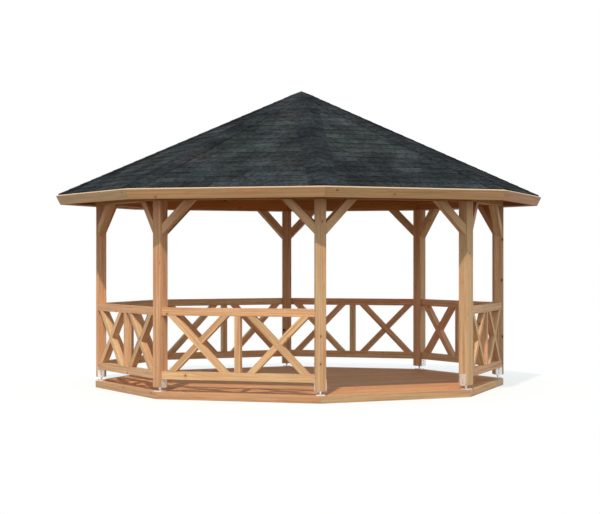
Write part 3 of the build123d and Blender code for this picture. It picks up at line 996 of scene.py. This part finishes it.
def apex_cap():
    bm = bmesh.new()
    top = shingle_high.z - APEX_PLAY
    lip_out, lip_down = APEX_CAP_LIP
    tiers = [(share * APEX_CAP_RADIUS, 0.0) for share in (0.0, 0.5, 1.0)]
    tiers.append((APEX_CAP_RADIUS + lip_out, lip_down))
    shells = []
    for under in (0.0, APEX_CAP_THICKNESS):
        rings = []
        for radius, turned_down in tiers:
            height = top - radius * APEX_CAP_FALL - turned_down - under
            angles = POST_ANGLES if radius else [0.0]
            corners = [(radius * cos(a), radius * sin(a), height) for a in angles]
            rings.append([bm.verts.new(corner) for corner in corners])
        shells.append(rings)
    for rings, way in ((shells[0], 1), (shells[1], -1)):
        for n in range(SIDES):
            after = (n + 1) % SIDES
            bm.faces.new([rings[0][0], rings[1][n], rings[1][after]][::way])
            for inner, outer in zip(rings[1:], rings[2:]):
                bm.faces.new([inner[n], outer[n], outer[after], inner[after]][::way])
    for n in range(SIDES):
        after = (n + 1) % SIDES
        upper, lower = shells[0][-1], shells[1][-1]
        bm.faces.new([upper[n], lower[n], lower[after], upper[after]])
    for name, value in (("tone", 0.2), ("hue", 0.3)):
        layer = bm.verts.layers.float.new(name)
        for vertex in bm.verts:
            vertex[layer] = value
    bmesh.ops.recalc_face_normals(bm, faces=bm.faces)
    return placed_bmesh("apex_cap", bm)


finish_piece(apex_cap(), shingle)
print("apex cap", APEX_CAP_RADIUS, "m from the centre to its corners")

# %% [markdown]
# ## Galvanised feet and zinc screws
# Hot-dip zinc freezes in flat crystals, each a slightly different grey, so galvanised plate
# looks like frost. A cell pattern gives the crystals, and the same pattern changes the gloss.
# The feet are the frame's own solids with a small edge radius. The threads of their rods are a
# helix with a pointed section, which only Geometry Nodes or a screw modifier makes quickly.

# %% Galvanised steel and zinc
DULL_ZINC = colour(0.56, 0.54, 0.52)


def steel_material(name, pale, dark, cell_scale, roughness):
    material, r, shader = new_material(name)
    here = r.add("ShaderNodeTexCoord", out="Object")
    cell = {"Vector": here, "Scale": cell_scale, "Randomness": 1.0}
    crystal, other, _ = r.separate(r.add("ShaderNodeTexVoronoi", cell, out="Color"))
    dust = r.noise(here, 30.0, 4.0, 0.6)
    base = r.mix(crystal, dark, pale)
    base = r.mix(r.ramp(dust, 0.55, 0.80, 0.0, 0.4), base, DULL_ZINC)
    gloss = r.math("MULTIPLY_ADD", other, 0.18, roughness - 0.09)
    gloss = r.math("MULTIPLY_ADD", dust, 0.12, gloss)
    height = r.math("ADD", crystal, dust)
    bump = r.add("ShaderNodeBump", {"Strength": 0.25, "Distance": 0.0005, "Height": height})
    r.fill(shader, {"Base Color": base, "Roughness": gloss, "Metallic": 0.85, "Normal": bump})
    return material


BRIGHT_ZINC = colour(0.95, 0.93, 0.93)
FROSTED_ZINC = colour(0.82, 0.81, 0.82)
SCREW_PALE = colour(0.66, 0.64, 0.58)
SCREW_DARK = colour(0.50, 0.48, 0.43)
galvanised = steel_material("galvanised_steel", BRIGHT_ZINC, FROSTED_ZINC, 90.0, 0.42)
zinc = steel_material("zinc_screws", SCREW_PALE, SCREW_DARK, 400.0, 0.36)

feet = eased_copy("post_feet_steel", "post_feet", 0.0008, segments=1)
feet.data.shade_smooth()
feet.data.set_sharp_from_angle(angle=radians(32))
finish_piece(feet, galvanised, ["post_feet"])
print("feet in", galvanised.name, "and screws in", zinc.name)

# %% Sizes of one foot
FOOT_REACH = 0.2  # wider than a foot, less than the way to the next one
PLAY = 0.0002


def corners_at_post(node):
    """The corners of a node near the first post, seen from that post's own middle."""
    turn = Matrix.Rotation(-HALF_TURN, 3, "Z")
    middle = Vector((post_radius, 0, 0))
    corners = [turn @ vertex.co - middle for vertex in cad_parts[node].data.vertices]
    return [corner for corner in corners if corner.xy.length < FOOT_REACH]


foot_corners = corners_at_post("post_feet")
foot_heights = sorted({round(corner.z, 4) for corner in foot_corners})
plate_top, nut_low = foot_heights[1], foot_heights[2]
plate_half = max(corner.x for corner in foot_corners if corner.z < plate_top + PLAY)
ear_face = max(corner.y for corner in foot_corners)
print("foot heights", foot_heights)
print("plate half", round(plate_half, 3), "ear face", round(ear_face, 4))

# %% The threads of the rods
THREAD_PITCH = 0.0025
THREAD_RADIUS = 0.0092  # to the middle of a tooth
TOOTH = 0.42  # a tooth's own radius, as a share of the pitch


def thread_tree(r, size, _):
    height = r.math("SUBTRACT", size["Top"], size["Bottom"])
    helix = {"Resolution": 20, "Rotations": r.math("DIVIDE", height, size["Pitch"])}
    helix.update({"Start Radius": size["Radius"], "End Radius": size["Radius"], "Height": height})
    line = r.add("GeometryNodeCurveSpiral", helix)
    tooth = {"Resolution": 3, "Radius": r.math("MULTIPLY", size["Pitch"], TOOTH)}
    ridge = r.add("GeometryNodeCurvePrimitiveCircle", tooth, mode="RADIUS")
    thread = swept(r, line, ridge)
    points = r.add("GeometryNodeMeshLine", {"Count": SIDES, "Offset": (0.0, 0.0, 0.0)})
    index = r.add("GeometryNodeInputIndex")
    angle = r.math("MULTIPLY_ADD", index, 2 * HALF_TURN, HALF_TURN)
    spot_x = r.math("MULTIPLY", r.math("COSINE", angle), size["Circle"])
    spot_y = r.math("MULTIPLY", r.math("SINE", angle), size["Circle"])
    return copies_on(r, moved_to(r, points, spot_x, spot_y, size["Bottom"]), thread)


thread_sizes = {"Bottom": plate_top + PLAY, "Top": nut_low - PLAY, "Circle": post_radius}
thread_sizes.update({"Pitch": THREAD_PITCH, "Radius": THREAD_RADIUS})
threads = grow("foot_threads", thread_tree, thread_sizes, galvanised)
finish_piece(threads, galvanised)

# %% [markdown]
# ## Screws and bolts
# A gazebo is held by hundreds of fastenings. Their places follow the timbers: two in each deck
# board over each joist, two through the fascia into each rafter, coach bolts through the ears
# of the feet. The loops below only work out where each head sits and which way it faces. One
# tree then puts a head with a cross for the driver on every point.

# %% Places on the deck
DECK_SCREW_OUT = 0.27  # from a board's middle, as a share of the way to the next board
DECK_CORNER_PLAY = 0.03


def turned(x, y, z, angle):
    return Vector((x * cos(angle) - y * sin(angle), x * sin(angle) + y * cos(angle), z))


def spots(name, places):
    """A mesh of loose points that each carry the direction in which their head faces."""
    mesh = bpy.data.meshes.new(name)
    mesh.from_pydata([place for place, _ in places], [], [])
    facing = mesh.attributes.new("facing", "FLOAT_VECTOR", "POINT")
    facing.data.foreach_set("vector", [c for _, way in places for c in way])
    return mesh


def solid_boxes(node):
    """Lowest and highest corner of each separate solid of a node."""
    bm = merged_copy(node)
    boxes = []
    for group in islands(bm):
        low = Vector([min(vertex.co[i] for vertex in group) for i in range(3)])
        high = Vector([max(vertex.co[i] for vertex in group) for i in range(3)])
        boxes.append((low, high))
    bm.free()
    return boxes


joist_middles = sorted((low.x + high.x) / 2 for low, high in solid_boxes("deck_joists"))
board_pitch = 2 * deck_reach / DECK_BOARDS
upwards = Vector((0, 0, 1))
deck_places = []
for row in range(DECK_BOARDS):
    middle = -deck_reach + (row + 0.5) * board_pitch
    for x in joist_middles:
        for side in (-1, 1):
            y = middle + side * board_pitch * DECK_SCREW_OUT
            if abs(x) + abs(y) < deck_reach * sqrt(2) - DECK_CORNER_PLAY:
                deck_places.append((Vector((x, y, slab_high.z)), upwards))
print(len(joist_middles), "joists,", len(deck_places), "deck screws")

# %% Places on the fascia
FASCIA_END_SCREW = 0.05  # from the mitre
FASCIA_MIDDLE_SCREW = 0.012  # from the middle of a mid rafter
FASCIA_SCREW_DEPTHS = (0.035, 0.085)
fascia_out = fascia_high.x / cos(pitch)
fascia_way = Vector((cos(pitch), 0, -sin(pitch)))
fascia_end = fascia_high.x * tan(HALF_TURN) - FASCIA_END_SCREW
fascia_places = []
for angle in SIDE_ANGLES:
    for y in (-fascia_end, -FASCIA_MIDDLE_SCREW, FASCIA_MIDDLE_SCREW, fascia_end):
        for depth in FASCIA_SCREW_DEPTHS:
            x = fascia_out * cos(pitch) - depth * sin(pitch)
            z = boards_top_apex - fascia_out * sin(pitch) - depth * cos(pitch)
            fascia_places.append((turned(x, y, z, angle), turned(*fascia_way, angle)))
print(len(fascia_places), "fascia screws")

# %% Places on the feet
EAR_BOLTS = (0.30, 0.72)  # as shares of the height of an ear that shows
PLATE_SCREW_IN = 0.013  # from the plate's edges
rail_low, rail_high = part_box("railing_back")
ear_showing = rail_low.z - post_low.z  # the bottom rail covers the ears above this
plate_screw = plate_half - PLATE_SCREW_IN
bolt_places = []
plate_places = []
for angle in POST_ANGLES:
    for side in (-1, 1):
        for share in EAR_BOLTS:
            height = post_low.z + ear_showing * share
            place = turned(post_radius, side * ear_face, height, angle)
            bolt_places.append((place, turned(0, side, 0, angle)))
        for out in (-1, 1):
            place = turned(post_radius + out * plate_screw, side * plate_screw, plate_top, angle)
            plate_places.append((place, upwards))
print(len(bolt_places), "ear bolts,", len(plate_places), "plate screws")

# %% Places on the railings
RAIL_SCREWS = (0.27, 0.73)  # as shares of a rail's height
RAIL_SCREW_OUT = 0.018  # from the middle of the mullion
CROSSING_SCREW_OUT = 0.013  # from the middle of the crossing, both along and up
bars = solid_boxes("railing_back")
mullion_low = min(bars, key=lambda box: box[1].x - box[0].x)[0]
crossing = max((low.x + high.x) / 2 for low, high in bars)
middle_height = (rail_low.z + rail_high.z) / 2
rail_thick = mullion_low.z - rail_low.z
entrance = SIDE_ANGLES[SIDE_NAMES.index("front")]
railing_places = []
for angle in SIDE_ANGLES:
    if angle == entrance:
        continue
    for side in (-1, 1):
        for rail in (rail_low.z, rail_high.z - rail_thick):
            for share in RAIL_SCREWS:
                height = rail + share * rail_thick
                place = turned(rail_high.y, side * RAIL_SCREW_OUT, height, angle)
                railing_places.append((place, turned(1, 0, 0, angle)))
        for out in (-CROSSING_SCREW_OUT, CROSSING_SCREW_OUT):
            place = turned(rail_low.y, side * crossing + out, middle_height + out, angle)
            railing_places.append((place, turned(-1, 0, 0, angle)))
print(len(railing_places), "railing screws")

# %% Places on the braces
BRACE_FOOT_SCREW = 0.085  # above a brace's lower end
BRACE_HEAD_SCREW = 0.055  # below its upper end
BRACE_SCREWS = (0.3, 0.7)  # as shares of its thickness
brace_low, brace_high = max(solid_boxes("knee_braces_back"), key=lambda box: box[1].x)
underside = brace_low.x + brace_high.z  # along plus height, all over the slanting underside
brace_places = []
for angle in SIDE_ANGLES:
    for side in (-1, 1):
        for z in (brace_low.z + BRACE_FOOT_SCREW, brace_high.z - BRACE_HEAD_SCREW):
            for across in BRACE_SCREWS:
                out = brace_low.y + across * (brace_high.y - brace_low.y)
                place = turned(out, side * (underside - z), z, angle)
                brace_places.append((place, turned(0, -side * sqrt(0.5), -sqrt(0.5), angle)))
print(len(brace_places), "brace screws")

# %% One head on every place
CROSS_LENGTH = 1.05  # both as shares of a head's radius
CROSS_WIDTH = 0.22
CROSS_HEIGHT = 0.0004


def head_tree(r, size, points):
    radius, height = size["Radius"], size["Height"]
    rim = {"Vertices": 12, "Radius Top": size["Crown"], "Radius Bottom": radius, "Depth": height}
    shapes = [r.add("GeometryNodeMeshCone", rim, out="Mesh")]
    length = r.math("MULTIPLY", radius, CROSS_LENGTH)
    bar = r.combine(length, r.math("MULTIPLY", radius, CROSS_WIDTH), CROSS_HEIGHT)
    bar = r.add("GeometryNodeMeshCube", {"Size": bar}, out="Mesh")
    for turn in (0.0, pi / 2):
        moved = {"Geometry": bar, "Rotation": (0.0, 0.0, turn)}
        moved["Translation"] = r.combine(0.0, 0.0, height)
        shapes.append(r.add("GeometryNodeTransform", moved))
    facing = named(r, "facing", "FLOAT_VECTOR")
    aligned = r.add("FunctionNodeAlignRotationToVector", {"Vector": facing}, axis="Z")
    spin = r.combine(0.0, 0.0, chance_of(r, None, 0.0, 6.28, 51))
    own_turn = r.add("FunctionNodeEulerToRotation", {0: spin})
    both = r.add("FunctionNodeRotateRotation", {0: aligned, 1: own_turn}, rotation_space="LOCAL")
    return copies_on(r, points, together(r, *shapes), Rotation=both)


def sunk(places, depth):
    """The same places, a little deeper in the timber."""
    return [(place - way * depth, way) for place, way in places]


SCREW = {"Radius": 0.0042, "Crown": 0.0030, "Height": 0.0005}
EAR_BOLT = {"Radius": 0.0095, "Crown": 0.0060, "Height": 0.0045}
PLATE_SCREW = {"Radius": 0.0085, "Crown": 0.0055, "Height": 0.0035}
for name, places, head in [
    ("deck_screws", deck_places, SCREW),
    ("fascia_screws", sunk(fascia_places, 0.0006), SCREW),
    ("railing_screws", sunk(railing_places, 0.0001), SCREW),
    ("brace_screws", brace_places, SCREW),
    ("foot_bolts", bolt_places, EAR_BOLT),
    ("foot_screws", plate_places, PLATE_SCREW),
]:
    heads = grow(name, head_tree, head, zinc, spots(name + "_spots", places))
    finish_piece(heads, zinc)

# %% [markdown]
# ## Floor, light and camera
# The gazebo stands on a plain pale floor, with one lamp high at the left front for the sun and
# a surround for the sky. To the camera, and in gloss, floor and surround are white. To the
# timber the surround is a faint blue and the floor a brown lawn of earth: that is what fills
# the shade under an eave outdoors, and a white floor would light the ceiling like a lamp. The
# camera stands level at eye height and far back, which keeps the posts upright.

# %% Floor
GROUND = colour(0.19, 0.165, 0.135)
WHITE = colour(1.0, 1.0, 1.0)
FLOOR_PALE = colour(0.86, 0.86, 0.86)
FLOOR_REACH = 60.0
SHADOW_NEAR = 3.0  # from the middle: within this a shadow shows most
SHADOW_FAR = 7.0  # and past this it does not show


def seen_directly(r):
    """1 for what the camera, a gloss or a glass sees, 0 for what lights a surface."""
    path = r.add("ShaderNodeLightPath").node
    seen = r.math("MAXIMUM", path.outputs["Is Camera Ray"], path.outputs["Is Glossy Ray"])
    return r.math("MAXIMUM", seen, path.outputs["Is Transmission Ray"])


def floor_material():
    material, r, shader = new_material("pale_floor")
    seen = seen_directly(r)
    base = r.mix(seen, GROUND, FLOOR_PALE)
    r.fill(shader, {"Base Color": base, "Roughness": 0.9, "Specular IOR Level": 0.0})
    away = r.vector("LENGTH", r.add("ShaderNodeTexCoord", out="Object"), out="Value")
    share = r.math("MULTIPLY", r.ramp(away, SHADOW_NEAR, SHADOW_FAR, 0.72, 1.0), seen)
    glow = r.add("ShaderNodeEmission", {"Color": WHITE, "Strength": 1.0})
    both = r.add("ShaderNodeMixShader", {0: share, 1: shader.outputs[0], 2: glow})
    r.fill(material.node_tree.nodes["Material Output"], {"Surface": both})
    return material


floor_corners = [(-1, -1, 0), (1, -1, 0), (1, 1, 0), (-1, 1, 0)]
floor_mesh = bpy.data.meshes.new("floor")
floor_mesh.from_pydata([Vector(corner) * FLOOR_REACH for corner in floor_corners], [], [(0, 1, 2, 3)])
floor = placed("floor", floor_mesh)
floor.data.materials.append(floor_material())
print("floor", 2 * FLOOR_REACH, "m square")

# %% The sun
SUN_AZIMUTH = radians(-126.0)
SUN_HEIGHT = radians(51.3)
level_part = cos(SUN_HEIGHT)
towards_sun = Vector((level_part * cos(SUN_AZIMUTH), level_part * sin(SUN_AZIMUTH), sin(SUN_HEIGHT)))
lamp = bpy.data.lights.new("sun", "SUN")
lamp.energy = 2.55
lamp.angle = radians(1.5)
lamp.color = (1.0, 0.86, 0.71)
sun = placed("sun", lamp)
sun.rotation_mode = "QUATERNION"
sun.rotation_quaternion = towards_sun.to_track_quat("Z", "Y")
print("sun from", [round(v, 2) for v in towards_sun])

# %% The sky
HORIZON = colour(1.00, 0.95, 0.92)
HORIZON_STRENGTH = 1.26
ZENITH = colour(0.68, 0.98, 1.00)
ZENITH_STRENGTH = 0.85
world = bpy.data.worlds.new("surround")
bpy.context.scene.world = world
world.use_nodes = True
sky = Recipe(world.node_tree)
seen = seen_directly(sky)
_, _, rise = sky.separate(sky.add("ShaderNodeTexCoord", out="Generated"))
height = sky.ramp(rise, 0.05, 0.60)
strength = sky.ramp(height, 0.0, 1.0, HORIZON_STRENGTH, ZENITH_STRENGTH, smooth=False)
strength = sky.math("MULTIPLY", strength, sky.math("SUBTRACT", 1.0, seen))
strength = sky.math("ADD", strength, seen)
tint = sky.mix(seen, sky.mix(height, HORIZON, ZENITH), WHITE)
sky.fill(world.node_tree.nodes["Background"], {"Color": tint, "Strength": strength})
print("sky strength", HORIZON_STRENGTH, "at the horizon and", ZENITH_STRENGTH, "overhead")

# %% Camera
EYE = Vector((-9.547, -18.521, 1.594))
TURN_RIGHT = radians(27.219)
view = bpy.data.cameras.new("camera")
view.sensor_width = 36.0
view.lens = 101.2
view.clip_end = 300.0
camera = placed("camera", view)
camera.location = EYE
camera.rotation_euler = (pi / 2, 0.0, -TURN_RIGHT)
bpy.context.scene.camera = camera
bpy.context.scene.view_settings.view_transform = "Standard"
print("camera", round((EYE - Vector((0, 0, 1.8))).length, 2), "m from the gazebo's middle")
